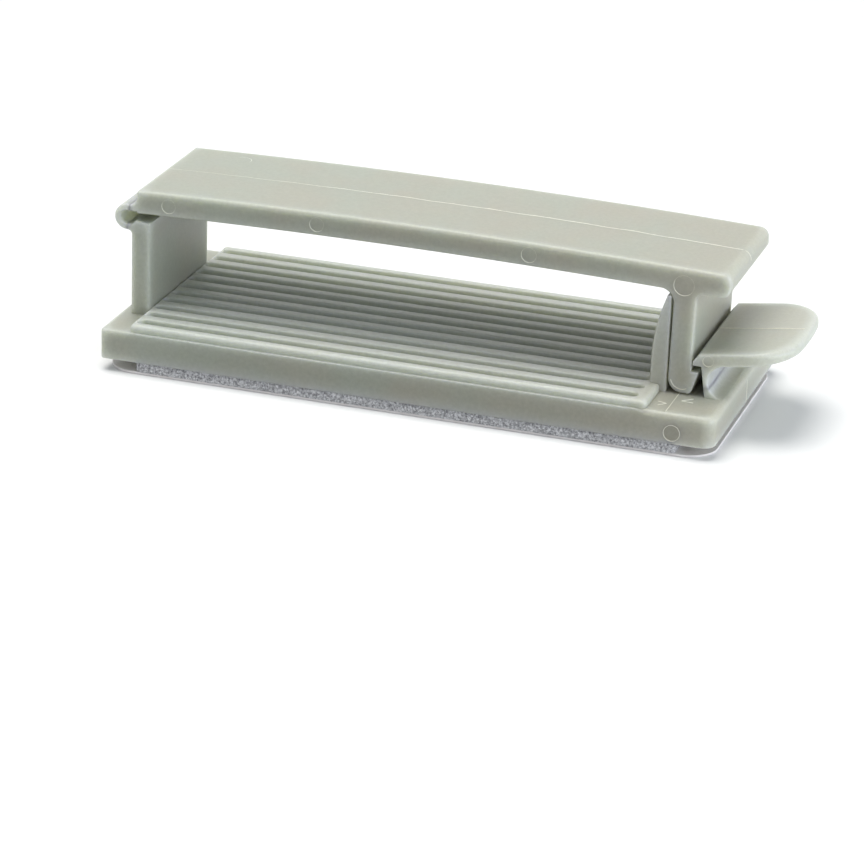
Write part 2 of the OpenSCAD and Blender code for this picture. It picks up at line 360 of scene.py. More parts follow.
def plate_mesh(front, top, under, top_r, under_r, rows=6):
    """A plate from the front half of its plan, listed from left to right and mirrored to the
    back. top and under give heights at x, and top_r and under_r the radii of the edges."""
    plan = list(front) + [Vector((p.x, -p.y)) for p in reversed(front)]
    moves = inward(plan)
    turns = [math.pi / 2 * j / rows for j in range(rows + 1)]
    rings = [("under", 1 - math.sin(turn), 1 - math.cos(turn)) for turn in turns]
    rings += [("top", 1 - math.cos(turn), 1 - math.sin(turn)) for turn in turns]
    vertices, faces, numbers = [], [], []
    for side, inset, drop in rings:
        numbers.append(range(len(vertices), len(vertices) + len(plan)))
        for p, m in zip(plan, moves):
            r = under_r(p.x) if side == "under" else top_r(p.x)
            q = p + m * inset * r
            z = under(q.x) + drop * r if side == "under" else top(q.x) - drop * r
            vertices.append((q.x, q.y, z))
    for a, b in zip(numbers, numbers[1:]):
        bridge(faces, a, b)
    count = len(front)
    for ring, flip in ((numbers[0], True), (numbers[-1], False)):
        for k in range(count - 1):
            other = len(plan) - 1 - k
            quad = (ring[k], ring[k + 1], ring[other - 1], ring[other])
            faces.append(tuple(reversed(quad)) if flip else quad)
    return vertices, faces


def plan_front(x0, x1, half, left_r, right_r, cuts=(), steps=12):
    """The front half of a plate's plan: corners of two radii, and cuts along its long side."""
    points = arc(x0 + left_r, -half + left_r, left_r, 180, 270, steps)
    points += [Vector((x, -half)) for x in cuts]
    points += arc(x1 - right_r, -half + right_r, right_r, 270, 360, steps)
    return points


def combine(piece, others, operation):
    """Applies a boolean of each other piece, and removes those pieces."""
    for other in others:
        modifier = piece.modifiers.new("combine", "BOOLEAN")
        modifier.operation = operation
        modifier.solver = "EXACT"
        modifier.object = other
    graph = bpy.context.evaluated_depsgraph_get()
    data = bpy.data.meshes.new_from_object(piece.evaluated_get(graph), depsgraph=graph)
    piece.modifiers.clear()
    piece.data = data
    for other in others:
        bpy.data.objects.remove(other)
    return piece


# Materials


def new_material(name):
    material = bpy.data.materials.new(name)
    material.use_nodes = True
    nodes = material.node_tree.nodes
    return material, nodes, material.node_tree.links, nodes["Principled BSDF"]


def add_node(nodes, kind, values=None, **settings):
    node = nodes.new(kind)
    for key, value in settings.items():
        setattr(node, key, value)
    for key, value in (values or {}).items():
        node.inputs[key].default_value = value
    return node


def colour_ramp(nodes, stops):
    ramp = nodes.new("ShaderNodeValToRGB")
    elements = ramp.color_ramp.elements
    while len(elements) < len(stops):
        elements.new(0.5)
    for element, (place, colour) in zip(elements, stops):
        element.position = place
        element.color = (*colour, 1.0)
    return ramp


def srgb(r, g, b):
    """A linear colour from display values between 0 and 255."""
    return tuple(
        (c / 255 / 12.92) if c <= 10 else ((c / 255 + 0.055) / 1.055) ** 2.4 for c in (r, g, b)
    )


NYLON_GREEN = (176, 181, 168)
NYLON_BEIGE = (180, 178, 164)
# Paler colour painted on thin places and edges: a painted highlight and painted glow of light
# through thin nylon
NYLON_PAINTED_GLOW = (205, 210, 207)
HUE_REACH = 30
# Depth within which the nylon counts as thin, for that painted highlight and glow
GLOW_DEPTH = 1.4


def lifted(colour, lift):
    return srgb(*(value + lift for value in colour))


def nylon_material(name, lift, subsurface, glow_share):
    """Natural nylon: cloudy grey-green and beige, translucent and finely grained. lift makes
    all of it paler, and the last argument paints thin places and edges paler: a painted highlight
    on the rims and painted glow of light through the thin nylon."""
    material, nodes, links, shader = new_material(name)
    place = add_node(nodes, "ShaderNodeTexCoord")
    clouds = add_node(
        nodes, "ShaderNodeTexNoise", {"Scale": 130.0, "Detail": 3.0, "Roughness": 0.55}
    )
    stops = [
        (0.32, lifted(NYLON_GREEN, lift)),
        (0.68, lifted(NYLON_BEIGE, lift)),
    ]
    axes = nodes.new("ShaderNodeSeparateXYZ")
    drift = add_node(
        nodes,
        "ShaderNodeMapRange",
        {1: -HUE_REACH * MM, 2: HUE_REACH * MM, "To Min": -0.1, "To Max": 0.14},
    )
    blend = add_node(nodes, "ShaderNodeMath", operation="ADD")
    tint = colour_ramp(nodes, stops)
    mottle = add_node(
        nodes, "ShaderNodeTexNoise", {"Scale": 2600.0, "Detail": 4.0, "Roughness": 0.7}
    )
    shade = colour_ramp(nodes, [(0.25, srgb(236, 236, 234)), (0.75, srgb(255, 255, 255))])
    mix = add_node(nodes, "ShaderNodeMix", data_type="RGBA", blend_type="MULTIPLY")
    mix.inputs[0].default_value = 1.0
    # Thin places and edges are painted paler: a painted highlight on the rims and painted glow of
    # light through the thin nylon
    depth = add_node(
        nodes, "ShaderNodeAmbientOcclusion", {"Distance": GLOW_DEPTH * MM}, samples=6, inside=True
    )
    depth.only_local = True
    thin = add_node(
        nodes, "ShaderNodeMapRange", {1: 0.9, 2: 0.38, "To Min": 0.0, "To Max": glow_share}
    )
    painted_glow = add_node(nodes, "ShaderNodeMix", data_type="RGBA")
    painted_glow.inputs[7].default_value = (*lifted(NYLON_PAINTED_GLOW, lift), 1)
    grain = add_node(
        nodes, "ShaderNodeTexNoise", {"Scale": 5200.0, "Detail": 5.0, "Roughness": 0.65}
    )
    bump = add_node(nodes, "ShaderNodeBump", {"Strength": 0.12, "Distance": 0.00003})
    gloss = add_node(nodes, "ShaderNodeMapRange", {"To Min": 0.38, "To Max": 0.52})
    for texture in (clouds, mottle, grain):
        links.new(place.outputs["Object"], texture.inputs["Vector"])
    links.new(place.outputs["Object"], axes.inputs["Vector"])
    links.new(axes.outputs["X"], drift.inputs["Value"])
    links.new(clouds.outputs["Fac"], blend.inputs[0])
    links.new(drift.outputs["Result"], blend.inputs[1])
    links.new(blend.outputs[0], tint.inputs["Fac"])
    links.new(mottle.outputs["Fac"], shade.inputs["Fac"])
    links.new(depth.outputs["AO"], thin.inputs["Value"])
    links.new(thin.outputs["Result"], painted_glow.inputs[0])
    links.new(tint.outputs["Color"], painted_glow.inputs[6])
    links.new(painted_glow.outputs[2], mix.inputs[6])
    links.new(shade.outputs["Color"], mix.inputs[7])
    links.new(mix.outputs[2], shader.inputs["Base Color"])
    links.new(grain.outputs["Fac"], bump.inputs["Height"])
    links.new(bump.outputs["Normal"], shader.inputs["Normal"])
    links.new(mottle.outputs["Fac"], gloss.inputs["Value"])
    links.new(gloss.outputs["Result"], shader.inputs["Roughness"])
    shader.inputs["Specular IOR Level"].default_value = 0.7
    shader.inputs["Subsurface Weight"].default_value = subsurface
    shader.inputs["Subsurface Radius"].default_value = (1.0, 1.0, 0.78)
    shader.inputs["Subsurface Scale"].default_value = 0.0022
    return material


def foam_material():
    """Cut closed-cell foam: small cells, bright and grey. The grey is partly the cut cells'
    texture and partly painted shade of the base above the pad.
    """
    material, nodes, links, shader = new_material("foam")
    place = add_node(nodes, "ShaderNodeTexCoord")
    cells = add_node(nodes, "ShaderNodeTexVoronoi", {"Scale": 4200.0, "Randomness": 1.0})
    grit = add_node(
        nodes, "ShaderNodeTexNoise", {"Scale": 5000.0, "Detail": 5.0, "Roughness": 0.7}
    )
    # The grey stops are partly painted shade, darker than the white foam, for the shade under the
    # base
    stops = [
        (0.36, srgb(128, 128, 131)),
        (0.5, srgb(196, 196, 199)),
        (0.64, srgb(246, 246, 248)),
    ]
    tint = colour_ramp(nodes, stops)
    bump = add_node(nodes, "ShaderNodeBump", {"Strength": 0.8, "Distance": 0.00012})
    for texture in (cells, grit):
        links.new(place.outputs["Object"], texture.inputs["Vector"])
    links.new(grit.outputs["Fac"], tint.inputs["Fac"])
    links.new(tint.outputs["Color"], shader.inputs["Base Color"])
    links.new(cells.outputs["Distance"], bump.inputs["Height"])
    links.new(bump.outputs["Normal"], shader.inputs["Normal"])
    shader.inputs["Roughness"].default_value = 0.95
    shader.inputs["Specular IOR Level"].default_value = 0.15
    return material


def liner_material():
    """Coated release paper, warm white with faint fibres."""
    material, nodes, links, shader = new_material("liner")
    place = add_node(nodes, "ShaderNodeTexCoord")
    fibres = add_node(
        nodes, "ShaderNodeTexNoise", {"Scale": 900.0, "Detail": 5.0, "Roughness": 0.6}
    )
    tint = colour_ramp(nodes, [(0.3, srgb(238, 232, 230)), (0.7, srgb(250, 247, 246))])
    bump = add_node(nodes, "ShaderNodeBump", {"Strength": 0.15, "Distance": 0.00003})
    links.new(place.outputs["Object"], fibres.inputs["Vector"])
    links.new(fibres.outputs["Fac"], tint.inputs["Fac"])
    links.new(tint.outputs["Color"], shader.inputs["Base Color"])
    links.new(fibres.outputs["Fac"], bump.inputs["Height"])
    links.new(bump.outputs["Normal"], shader.inputs["Normal"])
    shader.inputs["Roughness"].default_value = 0.4
    return material


nylon = nylon_material("nylon", 0, 1.0, 0.8)
# Moulding marks are painted paler than the nylon around them: a painted highlight for the light
# that their low ridges catch
highlit_mark_nylon = nylon_material("nylon_mark_highlight", 56, 0.0, 0.0)
# The pin mark's disc is darker: partly its own tone and partly painted shade of its shallow
# recess, which the flat disc leaves out
disc_tone_and_shade_nylon = nylon_material("nylon_disc", -24, 0.0, 0.0)
foam_colour_and_shade = foam_material()
liner_finish = liner_material()


# Base moulding

# How far solids run into each other before they are joined
MERGE = 0.4
STEP = 0.5
floor_end_x = guard_x + FLOOR_PAST_GUARD


def base_edge_r(x):
    """The base's top edge is sharp beside the raised floor, and rounded beyond its ends."""
    if x < channel_x:
        share, full = ramp(x, channel_x, channel_x - 1), HINGE_END_EDGE_R
    else:
        share, full = ramp(x, floor_end_x - 1.6, floor_end_x + 0.6), BASE_EDGE_R
    return SHARP_R + (full - SHARP_R) * eased(share)


def base_plate():
    cuts = [base_lo.x + BASE_CORNER_R + STEP * i for i in range(1, 8)]
    cuts += [guard_x - 2 + STEP * i / 2 for i in range(28)]
    front = plan_front(
        base_lo.x, base_hi.x, half_base, HINGE_END_CORNER_R, BASE_CORNER_R, cuts
    )
    vertices, faces = plate_mesh(
        front, lambda x: base_top, lambda x: base_z, base_edge_r, lambda x: SHARP_R
    )
    return mesh_object("base_plate", vertices, faces, None, nylon)


def raised_floor():
    x0 = channel_x - FLOOR_UNDER_R
    half = half_base - FLOOR_INSET
    front = plan_front(x0, floor_end_x, half, FLOOR_CORNER_R, FLOOR_CORNER_R)
    vertices, faces = plate_mesh(
        front,
        lambda x: floor_z,
        lambda x: base_top - MERGE * 2,
        lambda x: FLOOR_EDGE_R,
        lambda x: FLOOR_UNDER_R,
    )
    return mesh_object("raised_floor", vertices, faces, None, nylon)


def slot_cutter(y):
    """The negative of one relief slot, flared at its rim."""
    x0, x1 = channel_x + SLOT_LAND, guard_x - SLOT_LAND
    r = SLOT_W / 2
    plan = arc(x0 + r, 0, r, 90, 270, 16) + arc(x1 - r, 0, r, -90, 90, 16)
    moves = inward(plan)
    bottom = floor_z - SLOT_DEPTH
    rings = [
        (SLOT_FLOOR_R, bottom),
        (SLOT_FLOOR_R * 0.3, bottom + SLOT_FLOOR_R * 0.3),
        (0.0, bottom + SLOT_FLOOR_R),
    ]
    for j in range(5):
        turn = math.pi / 2 * j / 4
        flare, drop = 1 - math.cos(turn), 1 - math.sin(turn)
        rings.append((-SLOT_RIM_R * flare, floor_z - SLOT_RIM_R * drop))
    rings.append((-SLOT_RIM_R, floor_z + MERGE))
    vertices, faces, numbers = [], [], []
    for inset, z in rings:
        numbers.append(range(len(vertices), len(vertices) + len(plan)))
        for p, m in zip(plan, moves):
            q = p + m * inset
            vertices.append((q.x, q.y + y, z))
    for a, b in zip(numbers, numbers[1:]):
        bridge(faces, a, b)
    faces.append(tuple(reversed(numbers[0])))
    faces.append(tuple(numbers[-1]))
    return mesh_object("slot", vertices, faces, None, nylon)


FIN_EDGE_R = 0.2
GUARD_EDGE_R = 0.15


def post():
    """The hinge post, with the stub of the loop that leaves its outer face."""
    stub_top = hinge_z - HOLLOW_R
    stub_under = hinge_z - hinge_r
    stub_x = post_x - HINGE_FILLET
    fillet = arc(stub_x, stub_under - HINGE_FILLET, HINGE_FILLET, 90, 0, 10)
    outline = [
        Vector((channel_x, base_top - MERGE)),
        Vector((channel_x, post_z - POST_FALL)),
        Vector((post_x + POST_CHAMFER, post_z)),
        Vector((post_x, stub_top)),
        Vector((stub_x, stub_top)),
    ]
    first = len(outline) - 1
    outline += fillet
    outline.append(Vector((post_x, base_top - MERGE)))
    fixed = {first: (0, -1), first + 1: (0, 1)}
    vertices, faces = prism_mesh(outline, half_clip, lambda p: FIN_EDGE_R, fixed)
    return mesh_object("post", vertices, faces, None, nylon)


def guard():
    tip_z = strap_under(guard_back_x) - GUARD_TIP_GAP
    straight_z = base_z + GUARD_STRAIGHT_H
    steps = 20
    face = []
    for i in range(steps + 1):
        z = tip_z - (tip_z - straight_z) * i / steps
        bulge = GUARD_CURVE_R - math.sqrt(GUARD_CURVE_R**2 - (z - straight_z) ** 2)
        face.append((guard_x + min(bulge, GUARD_T - GUARD_TIP_T), z, 0 if i else SHARP_R))
    corners = [
        (guard_x, base_top - MERGE, 0),
        (guard_back_x, base_top - MERGE, 0),
        (guard_back_x, tip_z, SHARP_R),
    ]
    outline, tight = rounded(corners + face, lambda p: GUARD_EDGE_R)
    vertices, faces = prism_mesh(outline, half_clip, lambda p: GUARD_EDGE_R, tight)
    return mesh_object("guard", vertices, faces, None, nylon)


def arm_back(start, end, steps):
    return arc(arm_round_x, arm_round_z, arm_round_r, start, end, steps)


ARM_EDGE_R = 0.14
flex_angle = math.degrees(math.asin((arm_hi.z - arm_lo.z) / 2 / arm_round_r))


def arm_foot():
    back = arm_back(180 + flex_angle, 268, 18)
    front = [arm_front(base_top - MERGE), arm_front(arm_lo.z)]
    outline = back + [Vector((arm_round_x, base_top - MERGE))] + front
    fixed = {0: (-1, 0), len(outline) - 1: (1, 0)}
    vertices, faces = prism_mesh(outline, half_clip, lambda p: ARM_EDGE_R, fixed)
    return mesh_object("arm_foot", vertices, faces, None, nylon)


def base_moulding():
    room = half_base - FLOOR_INSET - SLOT_W / 2
    each_side = int(room / SLOT_PITCH)
    slots = [slot_cutter(i * SLOT_PITCH) for i in range(-each_side, each_side + 1)]
    piece = combine(base_plate(), [raised_floor()], "UNION")
    piece = combine(piece, slots, "DIFFERENCE")
    piece = combine(piece, [post(), guard(), arm_foot()], "UNION")
    piece.name = "base_moulding"
    finish_mesh(piece, SMOOTH_DEG)
    weighted_normals(piece)
    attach(piece, "holder")
    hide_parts("base")
    return piece


base_moulding()


# Hinge loop between the post and the strap


def hinge_moulding():
    low_x = post_x - HINGE_FILLET
    high_x = strap_x - HINGE_TOP_FILLET
    outer = arc(hinge_x, hinge_z, hinge_r, 270, 90, 40)
    inner = arc(hinge_x, hinge_z, HOLLOW_R, 90, 270, 32)
    run = [Vector((hinge_x + (high_x - hinge_x) * k, hinge_z + hinge_r)) for k in (0.5, 1)]
    back = [Vector((p.x, hinge_z + HOLLOW_R)) for p in reversed(run)]
    outline = [Vector((low_x, hinge_z - hinge_r))] + outer + run + back + inner
    outline.append(Vector((low_x, hinge_z - HOLLOW_R)))
    moves = {}
    for i, p in enumerate(outline):
        at_low = abs(p.x - low_x) < TINY and p.y < hinge_z
        at_high = abs(p.x - high_x) < TINY and p.y > hinge_z
        if at_low:
            moves[i] = (0, 1) if p.y < hinge_z - hinge_r + TINY else (0, -1)
        if at_high:
            moves[i] = (0, -1) if p.y > hinge_z + hinge_r - TINY else (0, 1)
    vertices, faces = prism_mesh(outline, half_clip, lambda p: FIN_EDGE_R, moves)
    piece = mesh_object("hinge_moulding", vertices, faces, None, nylon)
    weighted_normals(piece)
    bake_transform(piece)
    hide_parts("hinge_loop")


hinge_moulding()


# Strap with its latch leg

STRAP_EDGE_R = 0.48
STRAP_UNDER_R = 0.2
BARB_EDGE_R = 0.1
BARB_TIP_R = 0.06
BARB_ROOT_R = 0.1
# Height above the barb where the leg's straight face begins, and its share of the leg's lean
LEG_FACE_RISE = 1.1
LEG_FACE_LEAN = 0.1


def strap_edge_r(p):
    """The strap's long upper edges are rounder than its lower ones, and the barb is sharp."""
    over = (p.y - strap_under(p.x)) / STRAP_T
    if over > 0.3 or p.x < strap_x + 0.1:
        upper = ramp(over, 0.3, 0.8)
        past_hinge = ramp(p.x, strap_x - 0.3, strap_x + 0.5)
        return STRAP_UNDER_R + (STRAP_EDGE_R - STRAP_UNDER_R) * upper * past_hinge
    near_barb = p.x > leg_face_x - 0.3 and p.y < barb_z + 1.0
    return BARB_EDGE_R if near_barb else STRAP_UNDER_R


def strap_moulding():
    leg_root_x = leg_x + LEG_LEAN
    leg_root_face_x = leg_face_x + LEG_LEAN
    bow_end = leg_root_x - 2 * LEG_INNER_FILLET
    steps = 48
    under_xs = [strap_x + (bow_end - strap_x) * i / steps for i in range(1, steps + 1)]
    top_run = strap_len - 2 * STRAP_END_R
    top_xs = [strap_x + top_run * i / steps for i in range(steps, 0, -1)]
    end_z = strap_under(strap_end_x)
    corners = [(strap_x, strap_z, SHARP_R)]
    corners += [(x, strap_under(x), 0) for x in under_xs]
    corners += [
        (leg_root_x, strap_under(leg_root_x), LEG_INNER_FILLET),
        (leg_x, leg_z, LEG_HEEL_R),
        (leg_face_x + BARB_LEAD, leg_z, LEG_TOE_R),
        (leg_face_x + BARB_OUT, barb_z - BARB_FACE, SHARP_R),
        (leg_face_x + BARB_OUT, barb_z, BARB_TIP_R),
        (leg_face_x, barb_z, BARB_ROOT_R),
        (leg_face_x + LEG_LEAN * LEG_FACE_LEAN, barb_z + LEG_FACE_RISE, 0),
        (leg_root_face_x, strap_under(leg_root_face_x), LEG_OUTER_FILLET),
        (strap_end_x, end_z, STRAP_END_R),
        (strap_end_x, end_z + STRAP_T, STRAP_END_R),
    ]
    corners += [(x, strap_under(x) + STRAP_T, 0) for x in top_xs]
    corners.append((strap_x, strap_z + STRAP_T, STRAP_TOP_R))
    outline, fixed = rounded(corners, strap_edge_r, 5.0)
    stub_x = strap_x - HINGE_TOP_FILLET
    fillet_z = hinge_z + hinge_r + HINGE_TOP_FILLET
    fillet = arc(stub_x, fillet_z, HINGE_TOP_FILLET, 0, -90, 12)
    stub = fillet + [Vector((stub_x, hinge_z + HOLLOW_R))]
    stub.append(Vector((strap_x, hinge_z + HOLLOW_R)))
    first = len(outline) + len(fillet) - 1
    outline += stub
    fixed.update({first: (0, -1), first + 1: (0, 1)})
    vertices, faces = prism_mesh(outline, half_clip, strap_edge_r, fixed, rows=7)
    piece = mesh_object("strap_moulding", vertices, faces, "strap", nylon)
    weighted_normals(piece)
    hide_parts("strap")


strap_moulding()


# Catch with its arm and thumb tab

NOSE_EDGE_R = 0.2
NOSE_CORNER_R = 0.12
TAB_END_TOP_R = 0.7
TAB_END_UNDER_R = 0.3
NOSE_STEP = 0.1
TAB_STEP = 0.3


def along_tab(x, start, end):
    """Runs smoothly from one value at the middle of the tab to another at its end."""
    share = ramp(x, tab_end_x - 5.0, tab_end_x - 1.0)
    return start + (end - start) * eased(share)


def nose_top(x):
    """The catch's upper face, which slopes down to the tip of the nose."""
    slope_end = nose_x + NOSE_SLOPE_LEN
    if x >= slope_end:
        return tab_top(x)
    tip = nose_z + NOSE_TIP_H
    return tip + (tab_top(slope_end) - tip) * max(0.0, x - nose_x) / NOSE_SLOPE_LEN


def nose_edge_r(x):
    share = ramp(x, nose_x, nose_x + NOSE_SLOPE_LEN)
    return NOSE_CORNER_R + (NOSE_EDGE_R - NOSE_CORNER_R) * share


def catch_tab():
    bend_x = tab_end_x - TAB_CROWN - TAB_BEND_LEN
    front = arc(
        nose_x + NOSE_CORNER_R, NOSE_CORNER_R - half_clip, NOSE_CORNER_R, 180, 270, 6
    )
    cuts = [nose_x + NOSE_STEP * i for i in range(2, 16)]
    cuts += [nose_x + TAB_STEP * i for i in range(6, 26)]
    front += [Vector((x, -half_clip)) for x in cuts if x < bend_x - NOSE_STEP]
    bend_y = TAB_BEND_W - half_clip
    for i in range(25):
        turn = math.pi / 2 * i / 24
        x = bend_x + TAB_BEND_LEN * math.sin(turn) ** TAB_BEND_POWER
        front.append(Vector((x, bend_y - TAB_BEND_W * math.cos(turn) ** TAB_BEND_POWER)))
    front += [Vector((bend_x + TAB_BEND_LEN, bend_y * share)) for share in (0.7, 0.4, 0.1)]
    for p in front:
        if p.x > bend_x:
            p.x += TAB_CROWN * (1 - (p.y / half_clip) ** 2)
    return plate_mesh(
        front,
        nose_top,
        lambda x: max(nose_z, tab_under(x)),
        lambda x: nose_edge_r(x) + along_tab(x, 0, TAB_END_TOP_R - NOSE_EDGE_R),
        lambda x: along_tab(x, NOSE_CORNER_R, TAB_END_UNDER_R),
    )


def catch_moulding():
    top = arm_back(90 + math.degrees(TAB_TILT), 180 - flex_angle, 16)
    bend = arm_back(180 - flex_angle, 180 + flex_angle, 16)[1:]
    levels = [p.y for p in reversed(bend)] + [arm_hi.z]
    front = [arm_front(z) for z in levels]
    rise = [
        Vector((arm_x, nose_z)),
        Vector((arm_x, nose_z + TAB_T / 2)),
        Vector((top[0].x, top[0].y + TAB_T / 2)),
    ]
    outline = top + bend + front + rise
    low = len(top) + len(bend) - 1
    fixed = {low: (-1, 0), low + 1: (1, 0)}
    vertices, faces = prism_mesh(outline, half_clip, lambda p: ARM_EDGE_R, fixed)
    arm = mesh_object("arm", vertices, faces, None, nylon)
    vertices, faces = catch_tab()
    piece = mesh_object("catch_moulding", vertices, faces, None, nylon)
    combine(piece, [arm], "UNION")
    finish_mesh(piece, SMOOTH_DEG)
    weighted_normals(piece)
    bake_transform(piece)
    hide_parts("catch", "catch_arm")


catch_moulding()


# Adhesive pad and its liner

FOAM_SIDE_INSET = 0.12
FOAM_END_INSET = 0.1
FOAM_CORNER_R = 0.5
FOAM_PITCH = 0.16
FOAM_LEVELS = 7
FOAM_BELLY = 0.1
FOAM_SINK = 0.06
FOAM_FLAT_SHARE = 0.4
LINER_CORNER_R = 3.0
LINER_EDGE_R = 0.06


def foam_plan():
    """The pad's outline, in short steps that its ragged sides need."""
    half = foam_hi.y - FOAM_SIDE_INSET
    x0, x1 = foam_lo.x + FOAM_END_INSET, foam_hi.x - FOAM_END_INSET
    r = FOAM_CORNER_R
    run = x1 - x0 - 2 * r
    count = int(run / FOAM_PITCH)
    cuts = [x0 + r + run * i / count for i in range(1, count)]
    plan = list(plan_front(x0, x1, half, r, r, cuts, steps=5))
    rights = range(1, int((half - r) / FOAM_PITCH))
    plan += [Vector((x1, -half + r + FOAM_PITCH * i)) for i in rights]
    plan += [Vector((p.x, -p.y)) for p in reversed(plan)]
    lefts = range(1, int((2 * half - 2 * r) / FOAM_PITCH))
    return plan + [Vector((x0, half - r - FOAM_PITCH * i)) for i in lefts]


def foam_rough(p, z):
    """How far a point of the cut side stands out, coarse and fine."""
    coarse = noise.noise(Vector((p.x * 2.6, p.y * 2.6, z * 3.1))) * 0.09
    return coarse + noise.noise(Vector((p.x * 7.3, p.y * 7.3, z * 8.0))) * 0.06


def foam():
    """The foam's cut sides are ragged, and its faces are hidden."""
    plan = foam_plan()
    moves = inward(plan)
    z0, z1 = foam_lo.z, foam_hi.z
    vertices, faces, numbers = [], [], []
    for j in range(FOAM_LEVELS + 1):
        share = j / FOAM_LEVELS
        z = z0 + (z1 - z0) * share
        belly = FOAM_BELLY * (1 - (2 * share - 1) ** 2)
        depth = FOAM_FLAT_SHARE if j in (0, FOAM_LEVELS) else 1.0
        numbers.append(range(len(vertices), len(vertices) + len(plan)))
        for p, m in zip(plan, moves):
            q = p - m * (foam_rough(p, z) * depth + belly - FOAM_SINK)
            vertices.append((q.x, max(-half_base, min(half_base, q.y)), z))
    for a, b in zip(numbers, numbers[1:]):
        bridge(faces, a, b)
    faces.append(tuple(reversed(numbers[0])))
    faces.append(tuple(numbers[-1]))
    piece = mesh_object("foam", vertices, faces, "holder", foam_colour_and_shade, ROUGH_SMOOTH_DEG)
    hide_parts("foam_pad")


def liner():
    """The release liner, a flat sheet with round corners."""
    corner = LINER_CORNER_R
    x0, x1 = liner_lo.x, liner_hi.x
    cuts = [x0 + corner + (x1 - x0 - 2 * corner) * i / 40 for i in range(1, 40)]
    front = plan_front(x0, x1, liner_hi.y, corner, corner, cuts, steps=16)
    vertices, faces = plate_mesh(
        front,
        lambda x: liner_hi.z,
        lambda x: liner_lo.z,
        lambda x: LINER_EDGE_R,
        lambda x: LINER_EDGE_R,
        rows=3,
    )
    piece = mesh_object("liner", vertices, faces, "holder", liner_finish)
    weighted_normals(piece)
    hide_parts("release_liner")


foam()
liner()


# Moulding marks: flash on the parting line, pin marks, an insert's edge and two arrows

FLASH_W = 0.17
FLASH_H = 0.05
FLASH_LEAST = 0.3
# How far the marks run into the face below them
MARK_SINK = 0.05
# Half widths and heights across a ridge, where the sunk feet have a height of -1
RIDGE_PROFILE = [
    (-1.0, -1.0),
    (-0.9, 0.0),
    (-0.5, 0.75),
    (0.0, 1.0),
    (0.5, 0.75),
    (0.9, 0.0),
    (1.0, -1.0),
]


def ridge(name, path, widths, heights, body, sideways, outward):
    """A low rounded ridge along a path. sideways and outward give its directions at each point."""
    vertices, faces, numbers = [], [], []
    for p, w, h, side, out in zip(path, widths, heights, sideways, outward):
        numbers.append(range(len(vertices), len(vertices) + len(RIDGE_PROFILE)))
        for across, rise in RIDGE_PROFILE:
            lift = rise * h if rise > 0 else rise * MARK_SINK
            vertices.append(Vector(p) + side * across * w / 2 + out * lift)
    for a, b in zip(numbers, numbers[1:]):
        bridge(faces, a, b)
    faces.append(tuple(numbers[0]))
    faces.append(tuple(reversed(numbers[-1])))
    # Every ridge takes the paler mark colour, a painted highlight
    return mesh_object(name, vertices, faces, body, highlit_mark_nylon, ROUGH_SMOOTH_DEG)


def flash(name, path, outward, body, strength=lambda x: 1.0):
    """Flash left where the two mould halves meet, a little uneven along its length."""
    wavy, widths, heights = [], [], []
    for x, z in path:
        sway = noise.noise(Vector((x * 0.35, z * 0.35, 3.0)))
        rough = noise.noise(Vector((x * 1.9, z * 1.9, 7.0)))
        wavy.append(Vector((x, sway * 0.12 + rough * 0.02, z)))
        widths.append(FLASH_W * strength(x) * (1 + 0.35 * rough))
        heights.append(FLASH_H * strength(x) * max(0.25, 0.8 + 0.5 * sway + 0.6 * rough))
    return ridge(name, wavy, widths, heights, body, [Y_AXIS] * len(path), outward)


def strap_flash():
    """Along the strap's top and round its end, faintest beside the hinge."""
    steps, end_steps = 150, 12
    x0, x1 = strap_x + STRAP_TOP_R, strap_end_x - STRAP_END_R
    xs = [x0 + (x1 - x0) * i / steps for i in range(steps + 1)]
    path = [(x, strap_under(x) + STRAP_T) for x in xs]
    outward = [Z_AXIS] * len(path)
    centre_z = strap_under(strap_end_x) + STRAP_T - STRAP_END_R
    for i in range(1, end_steps + 1):
        turn = math.pi / 2 * i / end_steps
        out = Vector((math.sin(turn), 0, math.cos(turn)))
        path.append((x1 + STRAP_END_R * out.x, centre_z + STRAP_END_R * out.z))
        outward.append(out)

    def strength(x):
        return FLASH_LEAST + (1 - FLASH_LEAST) * min(1.0, (x - x0) / strap_len * 2)

    flash("strap_flash", path, outward, "strap", strength)


def tab_flash():
    steps = 40
    x0, x1 = nose_x + NOSE_SLOPE_LEN, tab_end_x - TAB_END_TOP_R
    xs = [x0 + (x1 - x0) * i / steps for i in range(steps + 1)]
    path = [(x, tab_top(x)) for x in xs]
    out = Vector((-math.sin(TAB_TILT), 0, math.cos(TAB_TILT)))
    flash("tab_flash", path, [out] * len(path), "catch")


def upright_flash(name, x, z0, z1, way):
    steps = 20
    path = [(x, z0 + (z1 - z0) * i / steps) for i in range(steps + 1)]
    flash(name, path, [X_AXIS * way] * len(path), "holder")


RING_W = 0.12
RING_H = 0.025
RING_STEP_DEG = 6
RING_LEAST_STEPS = 24


def ring(name, centre, radius, body, start=0, end=360, least=0.15, up=Z_AXIS, strong=235):
    """The faint ridge around a pin mark, strongest at one side, where its paler colour makes a
    painted highlight. up and +X span its plane.
    """
    normal = X_AXIS.cross(up)
    steps = max(RING_LEAST_STEPS, int((end - start) / RING_STEP_DEG))
    path, sideways, widths, heights, outward = [], [], [], [], []
    for i in range(steps + 1):
        angle = math.radians(start + (end - start) * i / steps)
        out = X_AXIS * math.cos(angle) + up * math.sin(angle)
        path.append(centre + out * radius)
        sideways.append(-out)
        facing = max(0.0, math.cos(angle - math.radians(strong)))
        strength = least + (1 - least) * facing
        widths.append(RING_W * strength)
        heights.append(RING_H * strength)
        outward.append(normal)
    return ridge(name, path, widths, heights, body, sideways, outward)


DISC_POINTS = 24
DISC_LIFT = 0.006


